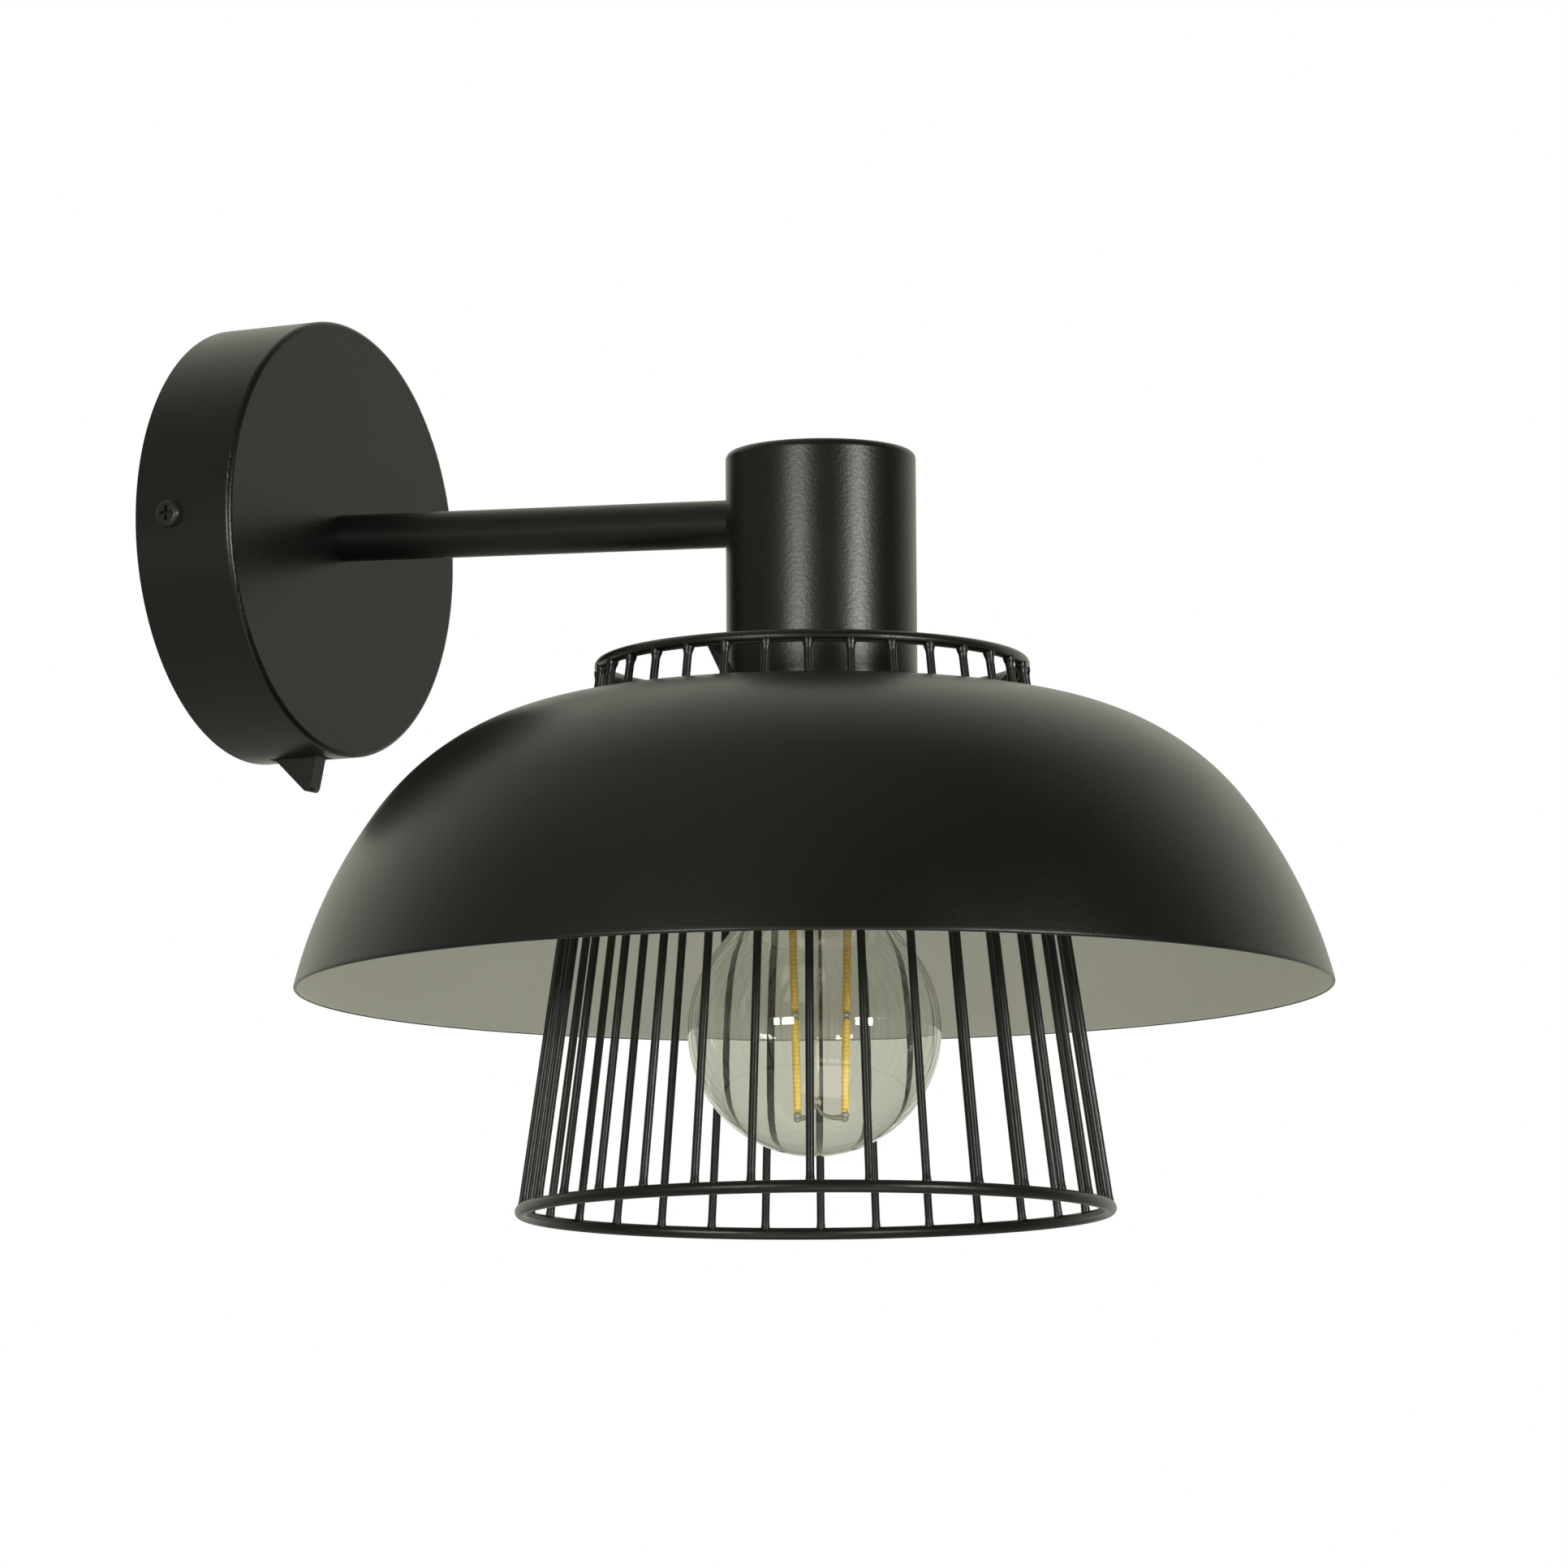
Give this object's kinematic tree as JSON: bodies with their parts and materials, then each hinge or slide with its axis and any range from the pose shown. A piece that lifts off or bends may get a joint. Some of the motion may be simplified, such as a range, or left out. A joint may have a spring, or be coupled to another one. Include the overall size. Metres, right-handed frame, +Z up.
{
  "type": "cage wall light",
  "caption": "Black wall light: round canopy with a rocker switch, straight arm, lampholder cup, dome shade wedged on an open wire cage, and a clear filament bulb.",
  "frame": {"origin": "centre of the wall bracket on the wall plane, level with the arm's root", "axes": "+Y into the wall, +Z up, the lamp stands out towards -Y"},
  "size_m": [0.25, 0.2833, 0.2293],
  "materials": {
    "black_paint": "satin black powder coat",
    "black_wire": "satin black powder coat on drawn wire",
    "shade_paint": "satin black outside, matt white inside",
    "black_screw": "blackened screw",
    "zinc_steel": "bright zinc plate",
    "brass": "plain brass",
    "nickel_plate": "nickel plate",
    "terminal_plastic": "natural polyamide",
    "switch_plastic": "fine matt black",
    "holder_plastic": "black thermoplastic",
    "ceramic": "glazed steatite",
    "black_glass": "black glass",
    "bulb_glass": "clear soda glass",
    "support_wire": "nickel wire",
    "phosphor": "yellow phosphor coat",
    "brown_lead": "brown insulation",
    "blue_lead": "blue insulation",
    "earth_lead": "green and yellow insulation"
  },
  "bodies": {
    "fixture": {"wall_bracket": "zinc_steel", "bracket_tabs": "zinc_steel", "earth_screw": "brass", "canopy": "black_paint", "canopy_screws": "black_screw", "terminal_block": "terminal_plastic", "terminal_block_screws": "zinc_steel", "switch_body": "switch_plastic", "switch_terminals": "brass", "arm_tube": "black_paint", "canopy_nipple": "zinc_steel", "canopy_lock_washer": "zinc_steel", "earth_tag": "brass", "canopy_nut": "zinc_steel", "lamp_nipple": "zinc_steel", "saddle_washer": "zinc_steel", "lamp_nut": "zinc_steel", "lamp_cup": "black_paint", "holder_bracket": "zinc_steel", "holder_nipple": "zinc_steel", "holder_nut": "zinc_steel", "holder_cap": "holder_plastic", "holder_skirt": "holder_plastic", "holder_core": "ceramic", "holder_terminals": "brass", "holder_terminal_screws": "zinc_steel", "holder_screw_shell": "nickel_plate", "centre_contact": "brass", "upper_shade_ring": "holder_plastic", "lower_shade_ring": "holder_plastic", "cage_hub_ring": "black_wire", "cage_legs": "black_wire", "cage_crown_ring": "black_wire", "cage_wires": "black_wire", "cage_bottom_ring": "black_wire", "dome_shade": "shade_paint", "live_lead": "brown_lead", "switched_lead": "brown_lead", "neutral_lead": "blue_lead", "earth_lead": "earth_lead"},
    "rocker": {"switch_rocker": "switch_plastic"},
    "bulb": {"bulb_glass": "bulb_glass", "bulb_cap": "nickel_plate", "bulb_insulator": "black_glass", "bulb_contact": "nickel_plate", "bulb_stem": "bulb_glass", "bulb_supports": "support_wire", "bulb_filaments": "phosphor"}
  },
  "joints": [
    {"name": "rocker_tilt", "type": "hinge", "parent": "fixture", "child": "rocker", "pos_m": [0, -0.0146, -0.0525], "axis": [1, 0, 0], "range_deg": [0, 33]},
    {"name": "bulb_unscrew", "type": "slide", "parent": "fixture", "child": "bulb", "axis": [0, 0, -1], "range_m": [0, 0.024]}
  ]
}
